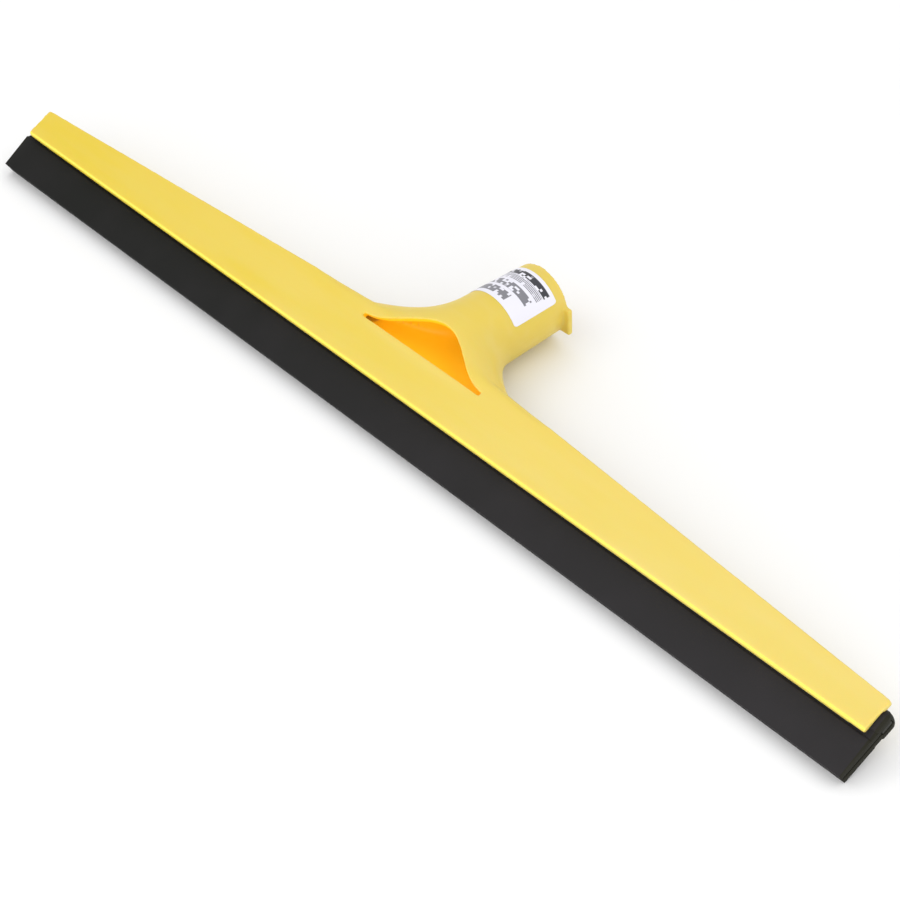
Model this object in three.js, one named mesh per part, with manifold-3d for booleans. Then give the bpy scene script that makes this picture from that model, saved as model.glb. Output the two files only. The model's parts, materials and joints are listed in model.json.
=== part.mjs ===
// Pole-mounted window squeegee head with a slide-in rubber refill.
//
// Millimetres. The head is drawn upright, standing on its working edge: +X along the blade, +Y the
// way the pole socket leans, +Z up from the working edge, with the origin in the middle of that
// edge. The last group lays it on its back, as it rests on a table: on the rear lip and on the rear
// of the socket, with the pole's axis nearly level. There +Z is up from the table, +Y runs from the
// working edge to the pole, and the origin is the middle of its footprint.
//
//   head_moulding   one plastic moulding: channel bar, gable, hollow neck and pole socket
//   blade_rubber    rubber strip folded double, held by its fat upper half in the channel
//   core_bar        stiff flat bar inside the fold, which keeps the strip in the channel
//   label           sticker wrapped round the front of the socket

import * as THREE from "three";
import { mergeVertices } from "three/addons/utils/BufferGeometryUtils.js";
import Module from "manifold-3d";

const wasm = await Module();
wasm.setup();

// ---------------------------------------------------------------- driving dimensions

// rubber refill
const bladeLength = 450;
const lipThickness = 2.4; // each of the two lips
const slitWidth = 0.8; // between the lips
const lipExposed = 15.2; // working edge to the lower edge of the head
const waistThickness = 4.6; // where the channel's mouth grips the strip
const foldThickness = 6.6; // fat upper half, round on top
const foldHeight = 8.0;
const coreThickness = 2.0;
const coreHeight = 4.6;
const coreLow = 0.4; // the core bar sits this far below the middle of the fold
const lipChamfer = 0.8; // top of the exposed lips, down from the waist
const foldChamfer = 0.6; // bottom of the fold, up from the waist

// head: channel bar and gable
const bladeOverhang = 2; // refill past each end of the bar
const wall = 2.3; // channel's side walls
const mouthHeight = 2; // inward lips along the channel's mouth
const endHeight = 12.8; // bar's height at its ends
const gableRise = 13.2; // how much higher the ridge line is in the middle
const faceSlope = 0.125; // front and rear faces lean together by this much per mm of height
const cornerRadius = 1.2; // upper corner at each end
const endRelief = 6; // rear wall and web stop this far short of the front wall

// head: coring pockets in the rear face
const pocketCount = 4; // on each side of the neck
const pocketPitch = 18;
const pocketRib = 2.6;
const pocketFirst = 52; // middle of the pocket nearest the neck
const pocketSkin = 2.4; // plastic left in front of and above a pocket
const webThickness = 2.4; // between the channel and a pocket

// head: pole socket
const rimDiameter = 27.2;
const socketDiameter = 29; // at the lower end of its straight part; it narrows to the rim
const boreDiameter = 22.4;
const socketLean = 30; // degrees back from upright
const socketReach = 63.7; // axis foot to rim
const socketLength = 26; // straight part below the rim
const axisFootRise = 10.7; // where the axis crosses the blade's middle plane, above the bar's edge
const earSpan = 32.2; // over the squared ears on both sides of the rim
const earFront = 3; // how far the ears reach in front of the pole's axis
const earRear = 8; // and behind it
const earThickness = 2.2;

// head: neck between bar and socket
const neckWall = 2.8;
const neckRoot = 2.5; // the neck's skin starts this far below the opening's sill, inside the bar
const flareReach = 35.5; // height along the axis over which the neck widens
const flareGain = 0.048; // how fast it widens, per mm
const frontHandles = [9, 23]; // how long the front line keeps the bar's and the socket's course
const rearHandles = [3.6, 5.3]; // the same for the rear line
const frontSwell = 0.8; // how far the front line swells out of the bar's face near its root
const rearSwell = 4.7; // the same for the rear line
const rootSquareness = 0.65; // exponent of the neck's section at its root; 1 is an ellipse
const archWidth = 63; // opening in the neck's front
const archHeight = 14.3;
const archBase = 17.3; // opening's sill above the bar's lower edge
const archDepth = [0.8, 8]; // how far the opening reaches behind the blade's plane, low and high

// steps in the curved faces
const roundSteps = 56;
const neckRings = 20;

// label
const labelThickness = 0.25;
const labelHeight = 21;
const labelBelowRim = 4.5;
const labelFrom = -225; // degrees round the socket from +X; the front is at -90
const labelTo = -28;

// clearances
const channelClearance = 0.3; // refill in the channel, all round
const coreClearance = 0.3;
const labelGap = 0.3;

// ---------------------------------------------------------------- derived sizes

const barLength = bladeLength - 2 * bladeOverhang;
const bladeThickness = 2 * lipThickness + slitWidth;
const barHalf = foldThickness / 2 + channelClearance + wall; // half thickness at the mouth
const mouthHalf = waistThickness / 2 + channelClearance;
const channelHalf = foldThickness / 2 + channelClearance;
const barBottom = lipExposed;
const mouthTop = barBottom + mouthHeight;
const foldBottom = mouthTop + channelClearance;
const foldTop = foldBottom + foldHeight;
const channelTop = foldTop + channelClearance;
const endTop = barBottom + endHeight;
const ridgeTop = endTop + gableRise;
const shoulder = barBottom - channelClearance; // top of the exposed lips
const coreBottom = foldBottom + (foldHeight - coreHeight) / 2 - coreLow;
const corePocketHalf = coreThickness / 2 + coreClearance;
const sill = barBottom + archBase;
const socketRadius = socketDiameter / 2;
const rimRadius = rimDiameter / 2;
const boreRadius = boreDiameter / 2;
const lean = THREE.MathUtils.degToRad(socketLean);
const axisFootHeight = barBottom + axisFootRise;
const socketStart = socketReach - socketLength;

const plastic = new THREE.Color(0xf3cf4e);
const rubberBlack = new THREE.Color(0x2b2a29);

const faceAt = (z) => barHalf - faceSlope * (z - barBottom); // half thickness of the bar at z
const ridgeAt = (x) => endTop + gableRise * (1 - Math.abs(x) / (barLength / 2));

// ---------------------------------------------------------------- solids

// A closed three.js geometry as a manifold solid, and back.
function toSolid(geometry) {
  const bare = geometry.clone();
  bare.deleteAttribute("normal");
  bare.deleteAttribute("uv");
  const merged = mergeVertices(bare, 1e-4);
  return new wasm.Manifold(new wasm.Mesh({
    numProp: 3,
    vertProperties: new Float32Array(merged.attributes.position.array),
    triVerts: new Uint32Array(merged.index.array),
  }));
}

function toGeometry(solid) {
  const mesh = solid.getMesh();
  const geometry = new THREE.BufferGeometry();
  geometry.setAttribute("position", new THREE.BufferAttribute(mesh.vertProperties, 3));
  geometry.setIndex(new THREE.BufferAttribute(mesh.triVerts, 1));
  geometry.computeVertexNormals();
  return geometry;
}

// A section drawn in the YZ plane, extruded along X and centred on x = 0.
function alongX(points, length) {
  const shape = new THREE.Shape(points.map(([y, z]) => new THREE.Vector2(y, z)));
  const geometry = new THREE.ExtrudeGeometry(shape, { depth: length, bevelEnabled: false });
  const turn = new THREE.Matrix4().set(
    0, 0, 1, -length / 2,
    1, 0, 0, 0,
    0, 1, 0, 0,
    0, 0, 0, 1,
  );
  return geometry.applyMatrix4(turn);
}

// An outline drawn in the XZ plane, extruded along Y from y0 to y1.
function alongY(shape, y0, y1, segments = 12) {
  const geometry = new THREE.ExtrudeGeometry(shape, {
    depth: y1 - y0,
    bevelEnabled: false,
    curveSegments: segments,
  });
  const turn = new THREE.Matrix4().set(
    1, 0, 0, 0,
    0, 0, -1, y1,
    0, 1, 0, 0,
    0, 0, 0, 1,
  );
  return geometry.applyMatrix4(turn);
}

function box(x0, x1, y0, y1, z0, z1) {
  const geometry = new THREE.BoxGeometry(x1 - x0, y1 - y0, z1 - z0);
  return geometry.translate((x0 + x1) / 2, (y0 + y1) / 2, (z0 + z1) / 2);
}

// A closed skin over rings of points, each ring the same way round, with flat ends.
function loft(rings) {
  const count = rings[0].length;
  const positions = rings.flat().flatMap((p) => [p.x, p.y, p.z]);
  const index = [];
  for (let r = 0; r + 1 < rings.length; r += 1) {
    for (let i = 0; i < count; i += 1) {
      const a = r * count + i;
      const b = r * count + ((i + 1) % count);
      index.push(a, b, b + count, a, b + count, a + count);
    }
  }
  const last = (rings.length - 1) * count;
  for (let i = 1; i + 1 < count; i += 1) {
    index.push(0, i + 1, i);
    index.push(last, last + i, last + i + 1);
  }
  const geometry = new THREE.BufferGeometry();
  geometry.setAttribute("position", new THREE.Float32BufferAttribute(positions, 3));
  geometry.setIndex(index);
  return geometry;
}

// The socket's own axes: its axis, X, and "front", which is across the axis towards -Y.
const axisDirection = new THREE.Vector3(0, Math.sin(lean), Math.cos(lean));
const frontDirection = new THREE.Vector3(0, -Math.cos(lean), Math.sin(lean));
const axisPoint = (along) =>
  new THREE.Vector3(0, 0, axisFootHeight).addScaledVector(axisDirection, along);

// Moves a solid made round +Z from z = 0 onto the socket's axis, its base at the given distance.
function ontoSocket(geometry, along) {
  const p = axisPoint(along);
  const turn = new THREE.Matrix4().makeRotationX(-lean).setPosition(p);
  return geometry.applyMatrix4(turn);
}

// ---------------------------------------------------------------- rubber refill

// Half-round top of radius r, from +r to -r, with its middle at the given height.
function roundTop(r, height, steps) {
  const points = [];
  for (let i = 0; i <= steps; i += 1) {
    const angle = (Math.PI * i) / steps;
    points.push([r * Math.cos(angle), height + r * Math.sin(angle)]);
  }
  return points;
}

function bladeRubber() {
  const half = bladeThickness / 2;
  const fold = foldThickness / 2;
  const waist = waistThickness / 2;
  const slit = slitWidth / 2;
  const coreTop = coreBottom + coreHeight + coreClearance;
  const pocketBottom = coreBottom - coreClearance;
  const section = [
    [slit, 0],
    [half, 0],
    [half, shoulder - lipChamfer],
    [waist, shoulder],
    [waist, foldBottom],
    [fold, foldBottom + foldChamfer],
    ...roundTop(fold, foldTop - fold, 12),
    [-fold, foldBottom + foldChamfer],
    [-waist, foldBottom],
    [-waist, shoulder],
    [-half, shoulder - lipChamfer],
    [-half, 0],
    [-slit, 0],
    [-slit, pocketBottom - foldChamfer],
    [-corePocketHalf, pocketBottom],
    [-corePocketHalf, coreTop],
    [corePocketHalf, coreTop],
    [corePocketHalf, pocketBottom],
    [slit, pocketBottom - foldChamfer],
  ];
  return alongX(section, bladeLength);
}

function coreBar() {
  const half = coreThickness / 2;
  const section = [
    [-half, coreBottom],
    [half, coreBottom],
    [half, coreBottom + coreHeight],
    [-half, coreBottom + coreHeight],
  ];
  return alongX(section, bladeLength);
}

// ---------------------------------------------------------------- head moulding

// Tapered bar whose outline rises to a low gable in the middle.
function bar() {
  const end = barLength / 2;
  const outline = new THREE.Shape();
  outline.moveTo(-end, barBottom);
  outline.lineTo(end, barBottom);
  outline.lineTo(end, endTop - cornerRadius);
  outline.quadraticCurveTo(end, endTop, end - cornerRadius, ridgeAt(end - cornerRadius));
  outline.lineTo(0, ridgeTop);
  outline.lineTo(-(end - cornerRadius), ridgeAt(end - cornerRadius));
  outline.quadraticCurveTo(-end, endTop, -end, endTop - cornerRadius);
  outline.closePath();
  const slab = toSolid(alongY(outline, -barHalf - 1, barHalf + 1, 5));
  const [below, above] = [barBottom - 1, ridgeTop + 1];
  const section = [
    [-faceAt(below), below],
    [faceAt(below), below],
    [faceAt(above), above],
    [-faceAt(above), above],
  ];
  return slab.intersect(toSolid(alongX(section, barLength + 2)));
}

// The refill's way through the bar, open at both ends and along the mouth.
function channel() {
  const section = [
    [-mouthHalf, barBottom - 2],
    [mouthHalf, barBottom - 2],
    [mouthHalf, mouthTop],
    [channelHalf, mouthTop + foldChamfer],
    ...roundTop(channelHalf, channelTop - channelHalf, 12),
    [-channelHalf, mouthTop + foldChamfer],
    [-mouthHalf, mouthTop],
  ];
  return toSolid(alongX(section, barLength + 4));
}

// The end of the bar is left open behind the front wall, so the refill can be gripped there.
function reliefAt(side) {
  const length = endRelief + 1;
  const [below, above] = [barBottom - 1, ridgeTop];
  const section = [
    [wall - faceAt(below), below],
    [barHalf + 1, below],
    [barHalf + 1, above],
    [wall - faceAt(above), above],
  ];
  const middle = side * (barLength / 2 - endRelief + length / 2);
  return toSolid(alongX(section, length).translate(middle, 0, 0));
}

// A pocket in the rear face, open to the rear, its roof parallel to the gable's edge.
function pocketAt(x) {
  const half = (pocketPitch - pocketRib) / 2;
  const floor = channelTop + webThickness;
  const roof = (px) => Math.max(ridgeAt(px) - pocketSkin, floor + 0.5);
  const outline = new THREE.Shape();
  outline.moveTo(x - half, floor);
  outline.lineTo(x + half, floor);
  outline.lineTo(x + half, roof(x + half));
  outline.lineTo(x - half, roof(x - half));
  outline.closePath();
  return toSolid(alongY(outline, pocketSkin - faceAt(floor), barHalf + 1));
}

// A line up the neck at x = 0, from the bar's face to the socket. side is -1 for the front, 1 for
// the rear; handles say how long the line keeps the course of the bar and of the socket.
function neckLine(side, handles, swell) {
  const rootHeight = sill - neckRoot;
  const bendHeight = rootHeight + handles[0];
  const top = axisPoint(socketStart).addScaledVector(frontDirection, -side * socketRadius);
  return new THREE.CubicBezierCurve3(
    new THREE.Vector3(0, side * faceAt(rootHeight), rootHeight),
    new THREE.Vector3(0, side * (faceAt(bendHeight) + swell), bendHeight),
    top.clone().addScaledVector(axisDirection, -handles[1]),
    top,
  );
}

const frontLine = neckLine(-1, frontHandles, frontSwell);
const rearLine = neckLine(1, rearHandles, rearSwell);

// One ring of the neck's skin, or of its hollow if inset. t runs from 0 inside the bar to 1 where
// the socket becomes a tube, and the section from a rounded oblong to a circle.
function neckRing(t, inset, steps) {
  const front = frontLine.getPoint(t);
  const rear = rearLine.getPoint(t);
  const centre = front.clone().add(rear).multiplyScalar(0.5);
  const across = front.clone().sub(rear);
  const depth = across.length() / 2 - inset;
  across.normalize();
  const along = centre.clone().sub(axisPoint(0)).dot(axisDirection);
  const width = socketRadius + flareGain * Math.max(flareReach - along, 0) ** 2 - inset;
  const power = rootSquareness + (1 - rootSquareness) * t;
  const ring = [];
  for (let i = 0; i < steps; i += 1) {
    const angle = (2 * Math.PI * i) / steps;
    const c = Math.cos(angle);
    const s = Math.sin(angle);
    const u = -width * Math.sign(c) * Math.abs(c) ** power;
    const v = depth * Math.sign(s) * Math.abs(s) ** power;
    ring.push(centre.clone().add(new THREE.Vector3(u, 0, 0)).addScaledVector(across, v));
  }
  return ring;
}

// The neck's skin, carried on as a tube that narrows by the given share over its length.
function neck(inset, tube, narrowing) {
  const list = [];
  for (let r = 0; r <= neckRings; r += 1) {
    list.push(neckRing(r / neckRings, inset, roundSteps));
  }
  const [start, end] = [axisPoint(socketStart), axisPoint(socketStart + tube)];
  list.push(list[neckRings].map((p) => p.clone().sub(start).multiplyScalar(narrowing).add(end)));
  return toSolid(loft(list));
}

// Bell-shaped opening in the neck's front, a raised cosine on a straight sill.
function arch() {
  const half = archWidth / 2;
  const steps = 24;
  const outline = new THREE.Shape();
  outline.moveTo(-half, sill);
  outline.lineTo(half, sill);
  for (let i = 1; i < steps; i += 1) {
    const x = half * (1 - (2 * i) / steps);
    outline.lineTo(x, sill + (archHeight * (1 + Math.cos((Math.PI * x) / half))) / 2);
  }
  outline.closePath();
  return toSolid(alongY(outline, -2 * barHalf, 2 * barHalf)).intersect(hollowFront());
}

// Everything in front of the hollow's middle, so the arch opens the neck's front wall only.
function hollowFront() {
  const top = sill + archHeight;
  const front = -2 * barHalf;
  const section = [
    [front, sill],
    [archDepth[0], sill],
    [archDepth[1], top],
    [front, top],
  ];
  return toSolid(alongX(section, archWidth + 2));
}

// Flat bar across the rim, whose ends stand out as squared ears; the bore goes through it.
function rimEars() {
  const half = earSpan / 2;
  const start = socketReach - earThickness;
  return toSolid(ontoSocket(box(-half, half, -earFront, earRear, 0, earThickness), start));
}

function rod(radius, from, to, segments) {
  const geometry = new THREE.CylinderGeometry(radius, radius, to - from, segments);
  geometry.rotateX(Math.PI / 2).translate(0, 0, (to - from) / 2);
  return toSolid(ontoSocket(geometry, from));
}

function headMoulding() {
  let solid = bar();
  for (const side of [-1, 1]) {
    for (let i = 0; i < pocketCount; i += 1) {
      solid = solid.subtract(pocketAt(side * (pocketFirst + pocketPitch * i)));
    }
  }
  solid = solid.add(neck(0, socketLength, rimRadius / socketRadius));
  solid = solid.add(rimEars());
  const aboveSill = toSolid(box(-archWidth / 2, archWidth / 2, -60, 60, sill, 200));
  const hollow = neck(neckWall, 1, 1).intersect(aboveSill);
  solid = solid.subtract(hollow);
  solid = solid.subtract(rod(boreRadius, socketStart - 1, socketReach + 1, roundSteps));
  solid = solid.subtract(arch());
  solid = solid.subtract(channel());
  for (const side of [-1, 1]) {
    solid = solid.subtract(reliefAt(side));
  }
  return toGeometry(solid);
}

// ---------------------------------------------------------------- label

// Radius of the socket at a distance along the axis.
const socketRadiusAt = (along) =>
  socketRadius + (rimRadius - socketRadius) * ((along - socketStart) / socketLength);

// A thin shell over part of the socket, made round and then drawn in with the socket's taper.
function label() {
  const gaps = [labelGap, labelGap + labelThickness];
  const steps = 40;
  const from = THREE.MathUtils.degToRad(labelFrom);
  const to = THREE.MathUtils.degToRad(labelTo);
  const corners = [];
  for (let i = 0; i <= steps; i += 1) {
    const angle = from + ((to - from) * i) / steps;
    corners.push(new THREE.Vector2(Math.cos(angle), Math.sin(angle)).multiplyScalar(1 + gaps[1]));
  }
  for (let i = steps; i >= 0; i -= 1) {
    const angle = from + ((to - from) * i) / steps;
    corners.push(new THREE.Vector2(Math.cos(angle), Math.sin(angle)).multiplyScalar(1 + gaps[0]));
  }
  const shape = new THREE.Shape(corners);
  const geometry = new THREE.ExtrudeGeometry(shape, { depth: labelHeight, bevelEnabled: false });
  const start = socketReach - labelBelowRim - labelHeight;
  const place = geometry.attributes.position;
  for (let i = 0; i < place.count; i += 1) {
    const [x, y] = [place.getX(i), place.getY(i)];
    const radius = Math.hypot(x, y);
    const drawn = (socketRadiusAt(start + place.getZ(i)) + radius - 1) / radius;
    place.setXY(i, x * drawn, y * drawn);
  }
  return ontoSocket(geometry, start);
}

// ---------------------------------------------------------------- scene graph

function part(name, geometry, colour, roughness) {
  const material = new THREE.MeshStandardMaterial({ color: colour, roughness, metalness: 0 });
  const mesh = new THREE.Mesh(geometry, material);
  mesh.name = name;
  return mesh;
}

const head = new THREE.Group();
head.add(part("head_moulding", headMoulding(), plastic, 0.42));
head.add(part("label", label(), new THREE.Color(0xecebf2), 0.5));

const refill = new THREE.Group();
refill.add(part("blade_rubber", bladeRubber(), rubberBlack, 0.85));
refill.add(part("core_bar", coreBar(), new THREE.Color(0xb9bbb8), 0.5));

const upright = new THREE.Group();
upright.add(head, refill);

// Laid back until the rear lip's edge and the rearmost line of the neck and socket are level.
const lipRest = new THREE.Vector3(0, bladeThickness / 2, 0);
const rimRest = axisPoint(socketReach).addScaledVector(frontDirection, -rimRadius);
const tilts = [...rearLine.getPoints(neckRings), rimRest]
  .map((p) => Math.atan2(p.z - lipRest.z, p.y - lipRest.y));
upright.rotation.x = -Math.min(...tilts);

const squeegee = new THREE.Group();
squeegee.add(upright);
squeegee.updateMatrixWorld(true);
const bounds = new THREE.Box3().setFromObject(squeegee, true);
const footprint = bounds.getCenter(new THREE.Vector3());
upright.position.set(-footprint.x, -footprint.y, -bounds.min.z);

export default squeegee;
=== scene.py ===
# %% [markdown]
# # A window squeegee head, modelled and finished in Blender
#
# The object is the head of a pole-mounted window squeegee: one yellow plastic moulding, a black
# sponge-rubber strip folded double over a stiff flat bar, and a printed sticker. It lies on its
# back on a table. The CAD model already says where everything is and how big it is, so this lesson
# only makes the surfaces that a viewer sees, in the same frame and in metres.

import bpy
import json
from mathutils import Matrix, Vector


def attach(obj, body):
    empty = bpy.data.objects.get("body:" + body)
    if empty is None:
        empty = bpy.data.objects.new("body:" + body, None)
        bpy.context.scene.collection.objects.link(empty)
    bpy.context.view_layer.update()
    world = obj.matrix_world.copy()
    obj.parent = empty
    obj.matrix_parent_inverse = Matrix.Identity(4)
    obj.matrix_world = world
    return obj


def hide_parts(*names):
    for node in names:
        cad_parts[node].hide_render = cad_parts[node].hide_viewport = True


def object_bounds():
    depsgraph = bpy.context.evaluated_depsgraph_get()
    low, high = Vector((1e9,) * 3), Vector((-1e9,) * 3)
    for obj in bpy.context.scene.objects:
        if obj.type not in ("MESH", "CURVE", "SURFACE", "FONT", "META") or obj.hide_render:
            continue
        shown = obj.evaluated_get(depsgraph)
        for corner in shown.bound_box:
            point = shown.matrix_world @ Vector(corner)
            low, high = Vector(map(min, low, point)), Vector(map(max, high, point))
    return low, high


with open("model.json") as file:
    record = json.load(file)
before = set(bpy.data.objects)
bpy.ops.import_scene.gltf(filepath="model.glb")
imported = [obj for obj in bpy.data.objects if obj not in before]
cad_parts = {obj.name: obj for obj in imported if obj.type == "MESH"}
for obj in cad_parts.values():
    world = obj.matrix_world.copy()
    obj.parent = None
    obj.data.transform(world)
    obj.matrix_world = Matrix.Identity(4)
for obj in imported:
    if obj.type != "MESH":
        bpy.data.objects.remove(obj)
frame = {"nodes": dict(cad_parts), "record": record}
cad_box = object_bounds()

# %% [markdown]
# Everything below needs Blender's own modules, `bmesh` for choosing faces and edges by their place,
# and a little trigonometry. Lengths are written in millimetres times `mm`, because a maker thinks
# of this object in millimetres while Blender's unit here is the metre.

# %% Modules and the unit
import json
from contextlib import contextmanager
from math import atan2, cos, degrees, pi, radians, sin, tau

import bmesh
import bpy
from mathutils import Matrix, Vector
from mathutils.geometry import interpolate_bezier

mm = 0.001
NEAR = 0.1 * mm  # a corner this close to a face or an edge belongs to it
OVERCUT = 5 * mm  # how far a cutting tool reaches past what it cuts

print("lengths are in metres, written as millimetres times", mm)

# %% [markdown]
# ## Two ways to stand
#
# The object lies on its back, so in the row's frame none of its faces is level. It is far easier
# to model it upright, standing on its working edge, and to lay each finished piece back at the
# end. The record's mounts say how it lies: the two rubber lips give the working edge, and their
# axis points out of it. From those comes one matrix, `LAID`, which takes an upright piece to where
# the CAD model has it.

# %% The upright frame, from the record's mounts
mounts = {m["name"]: m for m in frame["record"]["mounts"]}
front_lip, rear_lip, pole_rim = (
    Vector(mounts[name]["pos_m"]) for name in ("front_lip", "rear_lip", "pole_rim")
)
working_edge = (front_lip + rear_lip) / 2
along_blade = Vector((1, 0, 0))
upright = -Vector(mounts["front_lip"]["axis"]).normalized()
rearward = upright.cross(along_blade)
LAID = Matrix.Translation(working_edge) @ Matrix((along_blade, rearward, upright)).transposed().to_4x4()
STANDING = LAID.inverted()
lean_back = degrees(upright.angle(Vector((0, 0, 1))))
print("the head leans back by", round(lean_back, 1), "degrees")


def standing_points(node):
    """The corners of a CAD node, in the upright frame."""
    return [STANDING @ v.co for v in frame["nodes"][node].data.vertices]


def extent(points, axis):
    """Lowest and highest value of the points along one axis."""
    values = [p[axis] for p in points]
    return min(values), max(values)


# %% [markdown]
# ## Sizes that the frame gives
#
# The overall sizes of each piece are measured on the CAD solids, so a change there carries over to
# this script. The finer ones, such as a wall's thickness, are the mould maker's and are named here.

# %% Measure the CAD solids
head_points = standing_points("head_moulding")
rubber_points = standing_points("blade_rubber")
core_points = standing_points("core_bar")
label_points = standing_points("label")

X, Y, Z = range(3)
BAR_END = extent(head_points, X)[1]
BAR_BOTTOM = extent(head_points, Z)[0]
BAR_HALF = extent([p for p in head_points if p.z < BAR_BOTTOM + NEAR], Y)[1]
REFILL_END = extent(rubber_points, X)[1]
FOLD_TOP = extent(rubber_points, Z)[1]
FOLD_HALF = extent(rubber_points, Y)[1]
LIP_HALF = extent([p for p in rubber_points if p.z < NEAR], Y)[1]
CORE_BOTTOM, CORE_TOP = extent(core_points, Z)
CORE_HALF = extent(core_points, Y)[1]

pole_axis = (STANDING.to_3x3() @ Vector(mounts["pole_rim"]["axis"])).normalized()
socket_front = pole_axis.cross(Vector((-1, 0, 0))).normalized()
rim_point = STANDING @ pole_rim
rim_points = [p for p in head_points if abs((p - rim_point).dot(pole_axis)) < 0.05 * mm]
EAR_HALF = extent(rim_points, X)[1]
rim_span = [p.dot(socket_front) for p in rim_points]
RIM_RADIUS = (max(rim_span) - min(rim_span)) / 2
rim_shift = (max(rim_span) + min(rim_span)) / 2 - rim_point.dot(socket_front)
rim_centre = Vector((0, *(rim_point + socket_front * rim_shift).yz))
BORE_RADIUS = min((p - rim_centre).length for p in rim_points)
print(f"bar {2 * BAR_END / mm:.1f} long, {2 * BAR_HALF / mm:.1f} thick, bottom at {BAR_BOTTOM / mm:.1f} mm")
print(f"rim {2 * RIM_RADIUS / mm:.1f} over a {2 * BORE_RADIUS / mm:.1f} mm bore, "
      f"rim centre {[round(c / mm, 2) for c in rim_centre]}")

# %% [markdown]
# The gable's two slopes start from `END_HEIGHT` above the bar's lower edge and rise by `GABLE_RISE`.
# The faces lean together by `FACE_SLOPE`, and the cut ends splay by `END_SPLAY`. `EAR_STEP` keeps
# the top of the ears a hair under the rim, because a boolean cut handles two faces in one plane
# badly.

# %% Sizes of the moulding
END_HEIGHT = 12.8 * mm
GABLE_RISE = 13.2 * mm
FACE_SLOPE = 0.125
END_CORNER = 1.2 * mm
END_RELIEF = 6 * mm
END_SPLAY = 0.05
MOUTH_HEIGHT = 2 * mm
MOUTH_HALF = 2.6 * mm
CHANNEL_HALF = FOLD_HALF + 0.3 * mm
CHANNEL_TOP = FOLD_TOP + 0.3 * mm
WALL = 2.3 * mm
SOCKET_RADIUS = 14.5 * mm  # at its lower end; it tapers to RIM_RADIUS
SOCKET_REACH = 63.7 * mm
SOCKET_LENGTH = 26 * mm
EAR_FRONT, EAR_REAR, EAR_THICKNESS = 3 * mm, 8 * mm, 2.2 * mm
EAR_STEP = 0.06 * mm
SILL = BAR_BOTTOM + 17.3 * mm
ARCH_WIDTH, ARCH_HEIGHT = 63 * mm, 14.3 * mm
ARCH_DEPTH = (0.8 * mm, 8 * mm)
NECK_WALL = 2.8 * mm

ridge_top = BAR_BOTTOM + END_HEIGHT + GABLE_RISE
socket_start = SOCKET_REACH - SOCKET_LENGTH


def face_at(height):
    """Half thickness of the bar at a height: its faces lean together."""
    return BAR_HALF - FACE_SLOPE * (height - BAR_BOTTOM)


def ridge_at(x):
    """Height of the gable's upper edge above the working edge."""
    return ridge_top - GABLE_RISE * abs(x) / BAR_END


def on_pole(distance):
    """The point on the pole's axis at a distance from where it crosses the blade's middle plane."""
    return rim_centre + pole_axis * (distance - SOCKET_REACH)


print("ridge at", round(ridge_top / mm, 1), "mm, socket foot at", round(on_pole(0).z / mm, 1), "mm")

# %% [markdown]
# ## The camera
#
# The camera comes first, because a long lens at a fixed place settles how the object's lines run.
# A lens of about 100 mm keeps those lines almost parallel. Its place is given round the upright
# object, as a turn, a height angle, a roll and a distance, and it is laid down with it: it then
# looks at the head from above its working edge and to the right.

# %% Camera
CAMERA_AZIMUTH = radians(35.478)
CAMERA_ELEVATION = radians(-5.002)
CAMERA_ROLL = radians(39.375)
CAMERA_DISTANCE = 0.88092
CAMERA_LENS = 101.55
AIM_ALONG_BLADE, AIM_ABOVE_EDGE = 34.2 * mm, 11.7 * mm


def make_camera():
    back = Vector((
        sin(CAMERA_AZIMUTH) * cos(CAMERA_ELEVATION),
        -cos(CAMERA_AZIMUTH) * cos(CAMERA_ELEVATION),
        sin(CAMERA_ELEVATION),
    ))
    level = Vector((cos(CAMERA_AZIMUTH), sin(CAMERA_AZIMUTH), 0))
    right = Matrix.Rotation(CAMERA_ROLL, 3, back) @ level
    above = back.cross(right)
    data = bpy.data.cameras.new("camera")
    data.lens = CAMERA_LENS
    data.sensor_width = 36
    data.clip_start, data.clip_end = 0.01, 20
    camera = bpy.data.objects.new("camera", data)
    bpy.context.scene.collection.objects.link(camera)
    aim = Vector((AIM_ALONG_BLADE, 0, AIM_ABOVE_EDGE))
    place = Matrix((right, above, back)).transposed().to_4x4()
    camera.matrix_world = LAID @ Matrix.Translation(aim + back * CAMERA_DISTANCE) @ place
    bpy.context.scene.camera = camera
    return camera


camera = make_camera()
print("camera at", [round(c, 3) for c in camera.matrix_world.translation])

# %% [markdown]
# ## Modelling by hand, in code
#
# Blender's operators work on what is selected, so three small helpers keep that under control.
# `only` selects one object, `shaping` opens it in edit mode, and `pick` selects corners, edges or
# faces by where they are. `saw` is the bisect tool used as a saw: it takes off all that is beyond
# a plane and closes the cut.

# %% Selection and edit-mode helpers
def only(piece):
    bpy.ops.object.select_all(action="DESELECT")
    piece.select_set(True)
    bpy.context.view_layer.objects.active = piece


@contextmanager
def shaping(piece):
    only(piece)
    bpy.ops.object.mode_set(mode="EDIT")
    yield
    bpy.ops.object.mode_set(mode="OBJECT")


def pick(piece, kind, test):
    """Selects the VERT, EDGE or FACE parts whose every corner passes the test. Returns how many."""
    bpy.ops.mesh.select_mode(type=kind)
    bpy.ops.mesh.select_all(action="DESELECT")
    mesh = bmesh.from_edit_mesh(piece.data)
    parts = {"VERT": mesh.verts, "EDGE": mesh.edges, "FACE": mesh.faces}[kind]
    count = 0
    for part in parts:
        corners = [part.co] if kind == "VERT" else [v.co for v in part.verts]
        if all(test(c) for c in corners):
            part.select = True
            count += 1
    mesh.select_flush_mode()
    bmesh.update_edit_mesh(piece.data)
    return count


def saw(piece, point, outward):
    with shaping(piece):
        bpy.ops.mesh.select_all(action="SELECT")
        bpy.ops.mesh.bisect(plane_co=point, plane_no=outward, use_fill=True, clear_outer=True)


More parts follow.
